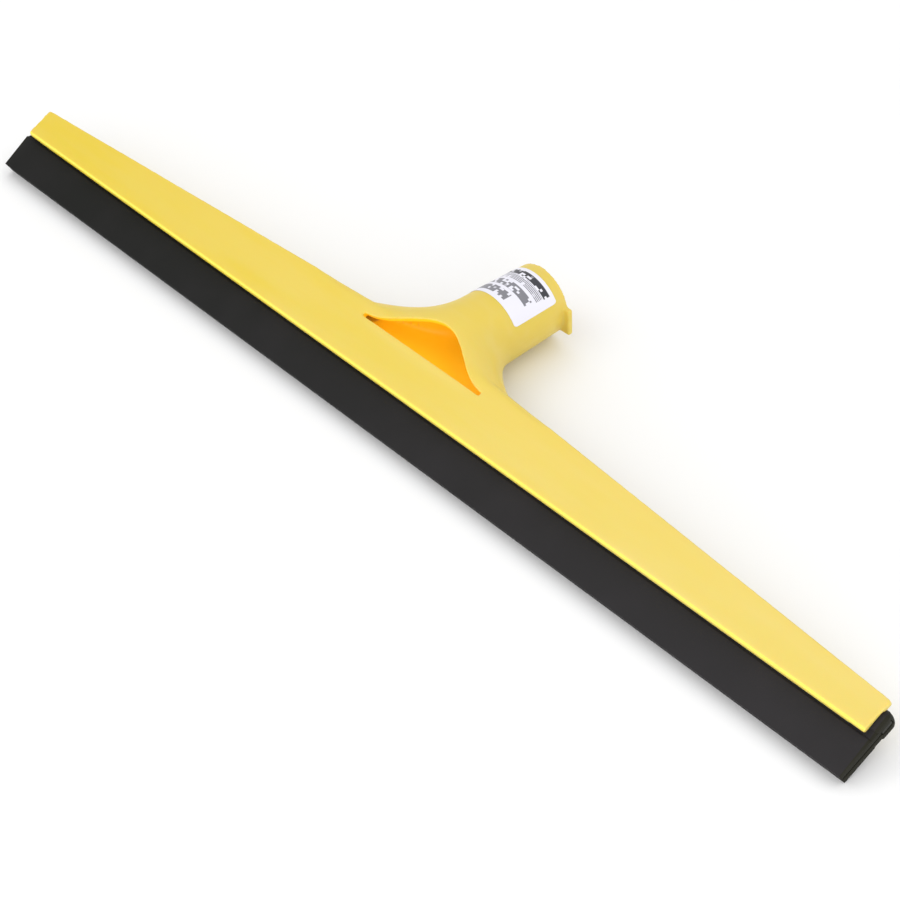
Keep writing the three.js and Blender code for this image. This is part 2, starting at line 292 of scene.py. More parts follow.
def block(name, low, high):
    """A cube primitive between two corners."""
    bpy.ops.object.select_all(action="DESELECT")
    low, high = Vector(low), Vector(high)
    bpy.ops.mesh.primitive_cube_add(size=1, location=(low + high) / 2, scale=high - low)
    piece = bpy.context.object
    piece.name = name
    bpy.ops.object.transform_apply(location=True, rotation=True, scale=True)
    return piece


def round_edges(piece, test, radius, segments=4):
    """Bevels the edges whose both ends pass the test."""
    with shaping(piece):
        count = pick(piece, "EDGE", test)
        bpy.ops.mesh.bevel(offset=radius, segments=segments, affect="EDGES", clamp_overlap=True)
    return count


def apply_modifier(piece, kind, **settings):
    only(piece)
    modifier = piece.modifiers.new(kind.title(), kind)
    for name, value in settings.items():
        setattr(modifier, name, value)
    bpy.ops.object.modifier_apply(modifier=modifier.name)


def combine(piece, tool, operation):
    """Cuts the tool out of the piece, or joins it on, and throws the tool away."""
    apply_modifier(piece, "BOOLEAN", operation=operation, object=tool, solver="EXACT")
    bpy.data.objects.remove(tool)


def size_of(piece):
    return f"{piece.name}: {len(piece.data.vertices)} corners, {len(piece.data.polygons)} faces"


print("helpers ready")

# %% [markdown]
# ## The head moulding: the bar
#
# The bar is a long tapered block whose upper edge rises to a low gable in the middle. It could be
# extruded from its outline, but a sawn block is quicker to follow: a cube as big as the whole bar
# loses its two ends, its two leaning faces and its two slopes to six cuts, and its outer corners
# are then rounded. The lower front edge gets a wider radius, because it catches the light all
# along the real one.

# %% Saw the bar
FRONT_EDGE_RADIUS = 1.7 * mm
REAR_EDGE_RADIUS = 0.7 * mm
SAWING_ALLOWANCE = 2 * mm


def sawn_bar():
    reach = BAR_END + SAWING_ALLOWANCE
    bar = block("head_shell", (-reach, -BAR_HALF, BAR_BOTTOM), (reach, BAR_HALF, ridge_top))
    for side in (-1, 1):
        saw(bar, (side * BAR_END, 0, BAR_BOTTOM), (side, 0, -END_SPLAY))
        saw(bar, (0, side * BAR_HALF, BAR_BOTTOM), (0, side, FACE_SLOPE))
        saw(bar, (0, 0, ridge_top), (side * GABLE_RISE / BAR_END, 0, 1))
    end_top = BAR_BOTTOM + END_HEIGHT
    round_edges(bar, lambda c: abs(c.x) > BAR_END - NEAR and c.z > end_top - NEAR, END_CORNER, 6)
    low = BAR_BOTTOM + NEAR
    round_edges(bar, lambda c: c.y < 0 and c.z < low, FRONT_EDGE_RADIUS, 5)
    round_edges(bar, lambda c: c.y > 0 and c.z < low, REAR_EDGE_RADIUS, 4)
    return bar


head = sawn_bar()
print(size_of(head))

# %% [markdown]
# ## The neck
#
# The neck grows out of the gable as a flat oblong and ends as a round tube that leans back. Its
# section changes all the way, so it is lofted: a circle primitive is extruded ring by ring, and
# each new ring is laid on its section. Two Bezier lines, one up the front and one up the rear, say
# where each section starts and ends, and a squareness that fades out turns the oblong into a
# circle. The same function with an inset makes the hollow inside, so the wall has one thickness.

# %% Loft the neck
NECK_ROOT = 2.5 * mm
FLARE_REACH = 35.5 * mm
FLARE_GAIN = 0.048 / mm
FRONT_HANDLES, FRONT_SWELL = (9 * mm, 23 * mm), 0.8 * mm
REAR_HANDLES, REAR_SWELL = (3.6 * mm, 5.3 * mm), 4.7 * mm
ROOT_SQUARENESS = 0.65
NECK_RINGS = 44
NECK_SIDES = 144


def neck_line(side, handles, swell):
    """Points up the neck's front (side -1) or rear (side 1), from the bar to the socket."""
    root = SILL - NECK_ROOT
    bend = root + handles[0]
    top = on_pole(socket_start) - socket_front * side * SOCKET_RADIUS
    return interpolate_bezier(
        Vector((0, side * face_at(root), root)),
        Vector((0, side * (face_at(bend) + swell), bend)),
        top - pole_axis * handles[1],
        top,
        NECK_RINGS + 1,
    )


front_line = neck_line(-1, FRONT_HANDLES, FRONT_SWELL)
rear_line = neck_line(1, REAR_HANDLES, REAR_SWELL)


def neck_measures(ring):
    """A section's centre, its direction to the front, its half depth and width, and its power."""
    front, rear = front_line[ring], rear_line[ring]
    centre = (front + rear) / 2
    height = (centre - on_pole(0)).dot(pole_axis)
    width = SOCKET_RADIUS + FLARE_GAIN * max(FLARE_REACH - height, 0) ** 2
    power = ROOT_SQUARENESS + (1 - ROOT_SQUARENESS) * ring / NECK_RINGS
    return centre, (front - rear).normalized(), (front - rear).length / 2, width, power


def neck_section(ring, inset, turn):
    """The point at an angle round one of the neck's sections."""
    centre, across, depth, width, power = neck_measures(ring)
    sideways = abs(cos(turn)) ** power * (1 if cos(turn) > 0 else -1)
    forwards = abs(sin(turn)) ** power * (1 if sin(turn) > 0 else -1)
    return centre + Vector(((width - inset) * sideways, 0, 0)) + across * (depth - inset) * forwards


def lofted_neck(name, inset, tube, narrowing):
    """The neck's skin, inset by a wall, carried on as a tube that narrows by a share."""
    bpy.ops.object.select_all(action="DESELECT")
    bpy.ops.mesh.primitive_circle_add(vertices=NECK_SIDES, radius=1, fill_type="NGON")
    neck = bpy.context.object
    neck.name = name
    with shaping(neck):
        bpy.ops.mesh.select_mode(type="FACE")
        bpy.ops.mesh.select_all(action="SELECT")
        mesh = bmesh.from_edit_mesh(neck.data)
        turn_of = mesh.verts.layers.float.new("turn")
        for v in mesh.verts:
            v[turn_of] = atan2(v.co.y, v.co.x)
        for ring in range(NECK_RINGS + 2):
            if ring:
                bpy.ops.mesh.extrude_region_move()
            mesh = bmesh.from_edit_mesh(neck.data)
            turn_of = mesh.verts.layers.float["turn"]
            for v in mesh.verts:
                if v.select:
                    v.co = neck_section(min(ring, NECK_RINGS), inset, v[turn_of])
                    if ring > NECK_RINGS:
                        v.co = on_pole(socket_start + tube) + (v.co - on_pole(socket_start)) * narrowing
            bmesh.update_edit_mesh(neck.data)
        bpy.ops.mesh.select_all(action="SELECT")
        bpy.ops.mesh.normals_make_consistent(inside=False)
    return neck


neck = lofted_neck("neck", 0, SOCKET_LENGTH, RIM_RADIUS / SOCKET_RADIUS)
print(size_of(neck))
combine(head, neck, "UNION")

# %% [markdown]
# The rim of the socket has a small squared ear on each side. They are the ends of one block laid
# across the rim and turned onto the pole's axis; the bore is cut through it later.

# %% The ears beside the rim
EAR_CORNER = 0.5 * mm


def onto_pole(piece, distance):
    """Moves a piece made on the world's Z axis onto the pole's axis."""
    turn = Matrix((Vector((1, 0, 0)), -socket_front, pole_axis)).transposed().to_4x4()
    piece.data.transform(Matrix.Translation(on_pole(distance)) @ turn)


def rim_ears():
    ears = block("rim_ears", (-EAR_HALF, -EAR_FRONT, 0), (EAR_HALF, EAR_REAR, EAR_THICKNESS))
    round_edges(ears, lambda c: abs(c.x) > EAR_HALF - NEAR, EAR_CORNER, 3)
    onto_pole(ears, SOCKET_REACH - EAR_THICKNESS - EAR_STEP)
    return ears


combine(head, rim_ears(), "UNION")
print(size_of(head))

# %% [markdown]
# ## Hollowing the moulding
#
# Five kinds of tool are cut out: the hollow of the neck, the bell-shaped opening in its front, the
# threaded bore for the pole, the channel for the rubber with its open ends, and the coring pockets
# in the rear face, which keep the plastic the same thickness all over.

# %% Cut the hollow and the opening
ARCH_STEPS = 40
ARCH_TIP = 1.4 * mm  # height of the opening at its two ends
ARCH_TOOL_DEPTH = 20 * mm
THROAT_OVERLAP = 1 * mm


def neck_hollow():
    hollow = lofted_neck("neck_hollow", NECK_WALL, THROAT_OVERLAP, 1)
    saw(hollow, (0, 0, SILL), (0, 0, -1))
    return hollow


def arch_opening():
    """A raised cosine on a straight sill, cut through the neck's front wall only."""
    half = ARCH_WIDTH / 2
    front = -BAR_HALF - OVERCUT
    bpy.ops.object.select_all(action="DESELECT")
    bpy.ops.mesh.primitive_grid_add(x_subdivisions=ARCH_STEPS, y_subdivisions=1, size=1)
    arch = bpy.context.object
    with shaping(arch):
        mesh = bmesh.from_edit_mesh(arch.data)
        for v in mesh.verts:
            x = v.co.x * ARCH_WIDTH
            rise = 0
            if v.co.y > 0:
                rise = ARCH_TIP + (ARCH_HEIGHT - ARCH_TIP) * (1 + cos(pi * x / half)) / 2
            v.co = Vector((x, front, SILL + rise))
        bmesh.update_edit_mesh(arch.data)
        bpy.ops.mesh.select_all(action="SELECT")
        bpy.ops.mesh.remove_doubles(threshold=0.001 * mm)
        bpy.ops.mesh.extrude_region_move(TRANSFORM_OT_translate={"value": (0, ARCH_TOOL_DEPTH, 0)})
        bpy.ops.mesh.select_all(action="SELECT")
        bpy.ops.mesh.normals_make_consistent(inside=False)
    lean = Vector((0, ARCH_HEIGHT, ARCH_DEPTH[0] - ARCH_DEPTH[1]))
    saw(arch, (0, ARCH_DEPTH[0], SILL), lean)
    return arch


combine(head, neck_hollow(), "DIFFERENCE")
combine(head, arch_opening(), "DIFFERENCE")
print(size_of(head))

# %% [markdown]
# The bore carries a coarse thread. The tool for it is a cylinder with many rings, and each corner
# moves outwards by how near it is to the thread's helix: a groove that climbs one pitch per turn.

# %% Cut the threaded bore
THREAD_PITCH = 4.4 * mm
THREAD_DEPTH = 1.1 * mm
THREAD_START = 3 * mm
THREAD_RUN_OUT = 4 * mm
GROOVE_HALF, GROOVE_FLANK = 0.32, 0.14  # shares of the pitch
BORE_RINGS = 110


def thread_depth(turn, height):
    """How far the groove stands out of the bore's wall: a trapezoid wave along the helix."""
    wave = (height / THREAD_PITCH - turn / tau) % 1
    groove = min(max((GROOVE_HALF - abs(wave - 0.5)) / GROOVE_FLANK, 0), 1)
    fade = min(max(height / THREAD_RUN_OUT, 0), 1)
    return THREAD_DEPTH * groove * fade


def threaded_bore():
    depth = SOCKET_LENGTH + 2 * mm
    bpy.ops.object.select_all(action="DESELECT")
    bpy.ops.mesh.primitive_cylinder_add(vertices=96, radius=BORE_RADIUS, depth=depth)
    bore = bpy.context.object
    with shaping(bore):
        bpy.ops.mesh.select_mode(type="EDGE")
        bpy.ops.mesh.select_all(action="DESELECT")
        mesh = bmesh.from_edit_mesh(bore.data)
        for edge in mesh.edges:
            edge.select = abs(edge.verts[0].co.z - edge.verts[1].co.z) > depth / 2
        bmesh.update_edit_mesh(bore.data)
        bpy.ops.mesh.subdivide(number_cuts=BORE_RINGS)
        mesh = bmesh.from_edit_mesh(bore.data)
        for v in mesh.verts:
            height = v.co.z + depth / 2
            radius = BORE_RADIUS + thread_depth(atan2(v.co.y, v.co.x), height - THREAD_START)
            v.co.xy = v.co.xy.normalized() * radius
        bmesh.update_edit_mesh(bore.data)
    bore.data.transform(Matrix.Translation((0, 0, depth / 2)))
    onto_pole(bore, socket_start - THROAT_OVERLAP)
    return bore


combine(head, threaded_bore(), "DIFFERENCE")
print(size_of(head))

# %% [markdown]
# The channel runs right through and is round at the top, where the fold sits. At both ends the rear
# wall is cut back, so that the fold shows there, and four pockets on each side lighten the gable.

# %% Cut the channel, its open ends and the pockets
CHANNEL_ROUND = 0.98
MOUTH_DEPTH = 4 * mm
POCKET_CORNER = 0.8 * mm
POCKET_COUNT, POCKET_PITCH, POCKET_FIRST = 4, 18 * mm, 52 * mm
POCKET_RIB, POCKET_SKIN = 2.6 * mm, 2.4 * mm


def channel():
    reach = BAR_END + OVERCUT
    floor, top = BAR_BOTTOM + MOUTH_HEIGHT, CHANNEL_TOP
    way = block("channel", (-reach, -CHANNEL_HALF, floor), (reach, CHANNEL_HALF, top))
    round_edges(way, lambda c: c.z > top - NEAR, CHANNEL_HALF * CHANNEL_ROUND, 10)
    low, high = BAR_BOTTOM - OVERCUT, BAR_BOTTOM + MOUTH_DEPTH
    mouth = block("mouth", (-reach, -MOUTH_HALF, low), (reach, MOUTH_HALF, high))
    combine(way, mouth, "UNION")
    return way


def end_relief(side):
    inner, outer = BAR_END - END_RELIEF, BAR_END + OVERCUT
    low, high = sorted((side * inner, side * outer))
    tool = block("relief", (low, -BAR_HALF, BAR_BOTTOM - OVERCUT), (high, 4 * BAR_HALF, ridge_top))
    saw(tool, (0, WALL - BAR_HALF, BAR_BOTTOM), (0, -1, FACE_SLOPE))
    return tool


def pocket(x):
    """A tool for one pocket: floor above the channel, roof under the gable's edge."""
    half = (POCKET_PITCH - POCKET_RIB) / 2
    floor_height = CHANNEL_TOP + POCKET_SKIN
    front = POCKET_SKIN - face_at(floor_height)
    tool = block("pocket", (x - half, front, floor_height), (x + half, 3 * BAR_HALF, ridge_top))
    slope = GABLE_RISE / BAR_END * (1 if x > 0 else -1)
    saw(tool, (x, 0, ridge_at(x) - POCKET_SKIN), (slope, 0, 1))
    round_edges(tool, lambda c: c.y < front + NEAR, POCKET_CORNER, 3)
    return tool


combine(head, channel(), "DIFFERENCE")
for side in (-1, 1):
    combine(head, end_relief(side), "DIFFERENCE")
    for i in range(POCKET_COUNT):
        combine(head, pocket(side * (POCKET_FIRST + POCKET_PITCH * i)), "DIFFERENCE")
print(size_of(head))

# %% [markdown]
# ## One skin, with moulded edges
#
# So far every edge is knife-sharp and the neck meets the gable in a crease. A real moulding has
# small radii everywhere and a wide fillet there. A voxel remesh turns the cut solid into one even
# skin; smoothing then rounds all edges a little, and a vertex group lets a much stronger smoothing
# work only along the neck's root. Last, Decimate thins the even mesh where it is flat.

# %% Remesh and smooth the moulding
VOXEL = 0.42 * mm
FILLET_REACH = 8 * mm
FILLET_PASSES = 120
FILLET_FROM_MIDDLE = 8 * mm
FILLET_FULL = 1.5  # above 1, so the weight stays full near the gable's edge
FADE_FROM, FADE_WIDTH = 0.8, 0.2  # shares of the opening's width
WALL_MIDDLE = 0.5
ARCH_MARGIN = 1.6 * mm
ARCH_WALL = 2 * mm
HEAD_TRIANGLES = 190_000


def near_root(c):
    """Weight of the neck's fillet at a point: 1 on the gable's upper edge, fading out around it."""
    if abs(c.x) > ARCH_WIDTH or abs(c.x) < FILLET_FROM_MIDDLE:
        return 0
    arch_line = SILL + ARCH_HEIGHT * (1 + cos(pi * c.x / (ARCH_WIDTH / 2))) / 2
    beside_arch = abs(c.x) < ARCH_WIDTH / 2 + ARCH_MARGIN and c.z < arch_line + ARCH_MARGIN
    if c.y < ARCH_WALL and beside_arch:
        return 0
    away = abs(c.z - ridge_at(c.x)) / FILLET_REACH
    beyond = (abs(c.x) - ARCH_WIDTH * FADE_FROM) / (ARCH_WIDTH * FADE_WIDTH)
    return max(0, min(1, FILLET_FULL * (1 - away))) * max(0, min(1, 1 - beyond))


def inside_neck(c, share):
    """True for a point deeper in the neck than a share of its wall."""
    level = Vector((0, *c.yz))
    rings = range(0, NECK_RINGS + 1, 2)
    ring = min(rings, key=lambda r: ((front_line[r] + rear_line[r]) / 2 - level).length)
    centre, across, depth, width, power = neck_measures(ring)
    skin = NECK_WALL * share
    u, v = abs(c.x) / (width - skin), abs((c - centre).dot(across)) / (depth - skin)
    return u ** (2 / power) + v ** (2 / power) < 1


def mould_skin(piece):
    apply_modifier(piece, "REMESH", mode="VOXEL", voxel_size=VOXEL)
    fillet = piece.vertex_groups.new(name="fillet")
    for v in piece.data.vertices:
        weight = near_root(v.co)
        if weight > 0 and not inside_neck(v.co, WALL_MIDDLE):
            fillet.add([v.index], weight, "REPLACE")
    apply_modifier(piece, "SMOOTH", factor=0.5, iterations=FILLET_PASSES, vertex_group="fillet")
    apply_modifier(piece, "SMOOTH", factor=0.5, iterations=3)
    triangles = 2 * len(piece.data.polygons)
    apply_modifier(piece, "DECIMATE", ratio=min(1, HEAD_TRIANGLES / triangles))
    only(piece)
    bpy.ops.object.shade_smooth()
    print("remeshed to", triangles, "triangles, thinned to", len(piece.data.polygons))


mould_skin(head)

# %% [markdown]
# Light that bounces about inside the neck and shines through its thin walls makes the hollow a deep
# orange. The finish has to know which surface is inside, so that is written into an attribute of the
# mesh: 1 on the hollow's own surface, whose faces look towards the pole's axis, and 0 elsewhere. The
# opening's two narrow tips lie outside the neck's hollow, so they are marked by their place.

# %% Mark the hollow's surface
HOLLOW_SHARE = 0.25
SILL_MARGIN, END_MARGIN = 0.4 * mm, 1 * mm
TIP_FROM, TIP_HEIGHT = 22 * mm, 3 * mm
TIP_SKIN, TIP_BACK = 0.8 * mm, 1.2 * mm


def mark_hollow(piece):
    heart = on_pole(socket_start / 2)
    top = on_pole(socket_start).z

    def within(v):
        c = v.co
        if not SILL - SILL_MARGIN < c.z < top or abs(c.x) > ARCH_WIDTH / 2 + END_MARGIN:
            return False
        behind_face = TIP_SKIN - face_at(c.z) < c.y < TIP_BACK
        in_tip = abs(c.x) > TIP_FROM and c.z < SILL + TIP_HEIGHT and behind_face
        return in_tip or (v.normal.dot(heart - c) > 0 and inside_neck(c, HOLLOW_SHARE))

    inside = [float(within(v)) for v in piece.data.vertices]
    piece.data.attributes.new("hollow", "FLOAT", "POINT").data.foreach_set("value", inside)
    return sum(inside)


print("corners inside the hollow", mark_hollow(head))

# %% [markdown]
# ## The rubber
#
# The rubber is one sponge strip folded double: a fat rounded fold that fills the channel, a waist
# that the mouth grips, and two lips with a slit between them. Its section is built from three
# blocks joined into one, and the slit and the core's pocket are cut out. The long edges are then
# subdivided along the blade, so that the lips can wave very slightly, as soft rubber does. The two
# ends are cut by hand: they splay upwards, and at the left the fold stops flush with the bar.

# %% Build the strip
SLIT_HALF = 0.4 * mm
RUBBER_EDGE = 0.22 * mm
WAIST_HALF = 2.3 * mm
FOLD_BOTTOM = BAR_BOTTOM + MOUTH_HEIGHT + 0.3 * mm
LIP_TOP = BAR_BOTTOM - 0.3 * mm
CORE_GAP = 0.3 * mm
STRIP_RINGS = 180
LIP_WAVE = 0.08 * mm
WAVES = ((31 * mm, 0, 0.6), (13.7 * mm, 1.3, 0.4))  # length, phase and share of each
CUT_SPLAY = 0.05
CUT_REACH = 1 * mm
FOLD_DRAWN_IN = 2.6 * mm
FOLD_ROUND = 0.97
FOLD_CORNER, LIP_SHOULDER = 0.6 * mm, 0.8 * mm
WAIST_OVERLAP = 2 * mm


def folded_strip():
    end = REFILL_END
    strip = block("rubber_strip", (-end, -FOLD_HALF, FOLD_BOTTOM), (end, FOLD_HALF, FOLD_TOP))
    round_edges(strip, lambda c: c.z > FOLD_TOP - NEAR and abs(c.y) > 0, FOLD_HALF * FOLD_ROUND, 12)
    round_edges(strip, lambda c: c.z < FOLD_BOTTOM + NEAR, FOLD_CORNER, 3)
    lips = block("lips", (-end, -LIP_HALF, 0), (end, LIP_HALF, LIP_TOP))
    round_edges(lips, lambda c: c.z > LIP_TOP - NEAR, LIP_SHOULDER, 4)
    low, high = LIP_TOP - WAIST_OVERLAP, FOLD_BOTTOM + WAIST_OVERLAP
    waist = block("waist", (-end, -WAIST_HALF, low), (end, WAIST_HALF, high))
    combine(strip, lips, "UNION")
    combine(strip, waist, "UNION")
    reach = end + OVERCUT
    slit = block("slit", (-reach, -SLIT_HALF, -OVERCUT), (reach, SLIT_HALF, CORE_BOTTOM))
    combine(strip, slit, "DIFFERENCE")
    half, low, high = CORE_HALF + CORE_GAP, CORE_BOTTOM - CORE_GAP, CORE_TOP + CORE_GAP
    combine(strip, block("core_pocket", (-reach, -half, low), (reach, half, high)), "DIFFERENCE")
    return strip


def soften(piece, radius, segments=2):
    """Rounds every sharp edge a little with a Bevel modifier."""
    apply_modifier(piece, "BEVEL", width=radius, segments=segments, limit_method="ANGLE",
                   angle_limit=radians(40), use_clamp_overlap=True)


def ring_along(piece, cuts):
    """Subdivides the long edges, so that the piece can bend along the blade."""
    with shaping(piece):
        bpy.ops.mesh.select_mode(type="EDGE")
        bpy.ops.mesh.select_all(action="DESELECT")
        mesh = bmesh.from_edit_mesh(piece.data)
        for edge in mesh.edges:
            edge.select = edge.calc_length() > REFILL_END
        bmesh.update_edit_mesh(piece.data)
        bpy.ops.mesh.subdivide(number_cuts=cuts)


def wave_lips(piece):
    for v in piece.data.vertices:
        free = max(0, 1 - v.co.z / LIP_TOP) ** 1.5
        sway = sum(sin(v.co.x / length + phase) * share for length, phase, share in WAVES)
        v.co.y += LIP_WAVE * free * sway


def trim_ends(piece):
    """Splays both ends as a hand cut does, and draws the fold in flush with the bar at the left."""
    for v in piece.data.vertices:
        if v.co.x < CUT_REACH - REFILL_END and v.co.z > LIP_TOP:
            v.co.x += FOLD_DRAWN_IN
        v.co.x *= 1 + CUT_SPLAY * v.co.z / REFILL_END


rubber = folded_strip()
soften(rubber, RUBBER_EDGE)
ring_along(rubber, STRIP_RINGS)
wave_lips(rubber)
trim_ends(rubber)
print(size_of(rubber))

# %% [markdown]
# ## The core bar
#
# A stiff flat bar lies in the fold. Only its two ends show. It is a block with its long edges
# rounded by the extruder and its ends cut slightly askew by a guillotine.

# %% Build the core bar
CORE_SHORT = 0.12 * mm
GUILLOTINE_SKEW = (0.05, 0.02)
CORE_EDGE = 0.25 * mm


def core():
    bar = block("core", (-REFILL_END, -CORE_HALF, CORE_BOTTOM), (REFILL_END, CORE_HALF, CORE_TOP))
    for side in (-1, 1):
        saw(bar, (side * (REFILL_END - CORE_SHORT), 0, CORE_BOTTOM), (side, *GUILLOTINE_SKEW))
    soften(bar, CORE_EDGE, 3)
    trim_ends(bar)
    return bar


core_bar = core()
print(size_of(core_bar))

# %% [markdown]
# ## The label
#
# The sticker goes round the front and one side of the socket. It is cut flat from a fine grid,
# its corners trimmed round with the saw, and then rolled onto the tube: a distance along the
# sticker becomes an angle round the pole's axis. Solidify gives the film its thickness. The grid's
# own UV map stays with it, so the print can be laid out flat.

# %% Cut, roll and thicken the label
LABEL_GRID = (110, 16)
LABEL_CORNER = 1.4 * mm
CORNER_CUTS = 5
FILM = 0.12 * mm
FILM_GAP = 0.05 * mm


def round_socket(p):
    """Angle, radius and height of a point round the pole's axis; the front is at -90 degrees."""
    away = p - on_pole(0)
    height = away.dot(pole_axis)
    return atan2(-away.dot(socket_front), away.x), (away - pole_axis * height).length, height


label_round = [round_socket(p) for p in label_points]
LABEL_BOTTOM, LABEL_TOP = extent(label_round, 2)
RIGHT_END = max(t for t, r, h in label_round if t < 0)
LEFT_END = min(t for t, r, h in label_round if t > 0) - tau
LABEL_RADIUS = (SOCKET_RADIUS + RIM_RADIUS) / 2 + FILM_GAP


def socket_radius_at(height):
    return SOCKET_RADIUS + (RIM_RADIUS - SOCKET_RADIUS) * (height - socket_start) / SOCKET_LENGTH


print("label from", round(degrees(LEFT_END)), "to", round(degrees(RIGHT_END)), "degrees")


def flat_label():
    width, height = (RIGHT_END - LEFT_END) * LABEL_RADIUS, LABEL_TOP - LABEL_BOTTOM
    bpy.ops.object.select_all(action="DESELECT")
    bpy.ops.mesh.primitive_grid_add(x_subdivisions=LABEL_GRID[0], y_subdivisions=LABEL_GRID[1], size=1)
    film = bpy.context.object
    film.name = "label_film"
    film.data.transform(Matrix.Diagonal((width, height, 1, 1)))
    for sx in (-1, 1):
        for sy in (-1, 1):
            heart = Vector((sx * (width / 2 - LABEL_CORNER), sy * (height / 2 - LABEL_CORNER), 0))
            for k in range(1, CORNER_CUTS + 1):
                turn = radians(90 * k / (CORNER_CUTS + 1))
                outward = Vector((sx * cos(turn), sy * sin(turn), 0))
                edge = heart + outward * LABEL_CORNER
                with shaping(film):
                    bpy.ops.mesh.select_all(action="SELECT")
                    bpy.ops.mesh.bisect(plane_co=edge, plane_no=outward, clear_outer=True)
    return film


def roll_label(film):
    middle = (LEFT_END + RIGHT_END) / 2
    for v in film.data.vertices:
        turn = middle + v.co.x / LABEL_RADIUS
        height = (LABEL_TOP + LABEL_BOTTOM) / 2 + v.co.y
        spoke = Vector((1, 0, 0)) * cos(turn) - socket_front * sin(turn)
        v.co = on_pole(height) + spoke * (socket_radius_at(height) + FILM_GAP)
    apply_modifier(film, "SOLIDIFY", thickness=FILM, offset=1)


label = flat_label()
roll_label(label)
print(size_of(label))

# %% [markdown]
# ## Shader maths as plain expressions
#
# A material is a graph of nodes, and long graphs are hard to read in code. `Signal` wraps a socket
# and answers to the usual operators, so `0.4 + 0.1 * grain` adds the Math nodes by itself.
# `Finish` holds one material: `node` adds any node with its settings and inputs, and `shader`
# sets the Principled BSDF.

# %% Signal and Finish
class Signal:
    """An output socket that can be used in a sum."""

    def __init__(self, tree, socket):
        self.tree, self.socket = tree, socket

    def math(self, operation, *values):
        node = self.tree.nodes.new("ShaderNodeMath")
        node.operation = operation
        for slot, value in zip(node.inputs, values):
            if isinstance(value, Signal):
                self.tree.links.new(value.socket, slot)
            else:
                slot.default_value = value
        return Signal(self.tree, node.outputs[0])

    def __add__(self, other): return self.math("ADD", self, other)
    def __radd__(self, other): return self.math("ADD", other, self)
    def __sub__(self, other): return self.math("SUBTRACT", self, other)
    def __rsub__(self, other): return self.math("SUBTRACT", other, self)
    def __mul__(self, other): return self.math("MULTIPLY", self, other)
    def __rmul__(self, other): return self.math("MULTIPLY", other, self)
    def __truediv__(self, other): return self.math("DIVIDE", self, other)
    def __lt__(self, other): return self.math("LESS_THAN", self, other)
    def __gt__(self, other): return self.math("GREATER_THAN", self, other)
    def __abs__(self): return self.math("ABSOLUTE", self)

    def step(self, low, high):
        """0 below low, 1 above high, and a smooth rise between."""
        node = self.tree.nodes.new("ShaderNodeMapRange")
        node.interpolation_type = "SMOOTHSTEP"
        node.inputs["From Min"].default_value = low
        node.inputs["From Max"].default_value = high
        self.tree.links.new(self.socket, node.inputs["Value"])
        return Signal(self.tree, node.outputs[0])


class Finish:
    """One material, built node by node."""

    def __init__(self, name):
        self.material = bpy.data.materials.new(name)
        self.material.use_nodes = True
        self.tree = self.material.node_tree
        self.bsdf = self.tree.nodes["Principled BSDF"]

    def node(self, kind, output=0, settings=None, **inputs):
        node = self.tree.nodes.new("ShaderNode" + kind)
        for name, value in (settings or {}).items():
            setattr(node, name, value)
        for name, value in inputs.items():
            self.feed(node.inputs[name.replace("_", " ")], value)
        return Signal(self.tree, node.outputs[output])

    def feed(self, socket, value):
        if isinstance(value, Signal):
            self.tree.links.new(value.socket, socket)
        else:
            socket.default_value = value

    def shader(self, **inputs):
        for name, value in inputs.items():
            self.feed(self.bsdf.inputs[name.replace("_", " ")], value)
        return self.material

    def upright_place(self):
        """Object coordinates turned back to the upright frame."""
        place = self.node("TexCoord", output="Object")
        return self.node(
            "Mapping", settings={"vector_type": "POINT"}, Vector=place,
            Location=STANDING.translation, Rotation=STANDING.to_euler(),
        )

    def split(self, vector):
        node = self.tree.nodes.new("ShaderNodeSeparateXYZ")
        self.tree.links.new(vector.socket, node.inputs[0])
        return [Signal(self.tree, out) for out in node.outputs]

    def noise(self, place, size, detail=2.0, roughness=0.5):
        """Noise whose features are about one size across, in metres."""
        return self.node("TexNoise", Vector=place, Scale=1 / size, Detail=detail, Roughness=roughness)

    def blend(self, share, first, second):
        """A mix of two colours, by a share from 0 to 1."""
        node = self.tree.nodes.new("ShaderNodeMix")
        node.data_type = "RGBA"
        for socket, value in ((node.inputs[0], share), (node.inputs[6], first), (node.inputs[7], second)):
            self.feed(socket, value)
        return Signal(self.tree, node.outputs[2])

    def bump(self, height, distance, strength=1.0):
        return self.node("Bump", Height=height, Distance=distance, Strength=strength)


print("shader helpers ready")

# %% [markdown]
# ## Yellow polypropylene
#
# The moulding is satin yellow plastic. Its colour grows slightly lighter from left to right, which is
# painted light, with faint flow lines where the melt ran out along the bar, and the rounded lower
# front edge is a brighter yellow, a painted highlight. The surface has a very fine spark-eroded grain
# and a parting line up the socket's sides. A little light passes through the plastic, so it also
# scatters under the surface. Inside the neck an amber colour and a weak glow are painted light: they
# stand for the light that bounces about in the hollow and comes through the walls.

# %% Yellow plastic
YELLOW = (0.71, 0.525, 0.022, 1)
# the lighter yellow is painted light towards the right end, and also the colour of the real flow lines
YELLOW_LIT_AND_FLOW = (0.735, 0.578, 0.155, 1)
# the bright yellow of a painted highlight on the rounded lower front edge
YELLOW_EDGE_HIGHLIGHT = (1.0, 0.86, 0.10, 1)
# the amber and its glow are painted light inside the hollow: light bouncing in the neck and coming through
# its walls
AMBER_HOLLOW_LIGHT = (0.86, 0.53, 0.02, 1)
AMBER_HOLLOW_GLOW = (0.235, 0.135, 0.002, 1)
GRAIN, FLOW, CLOUD = 0.35 * mm, 9 * mm, 30 * mm
# the span over which the painted light grows from left to right
PAINTED_LIGHT_OVER = (-220 * mm, 220 * mm)
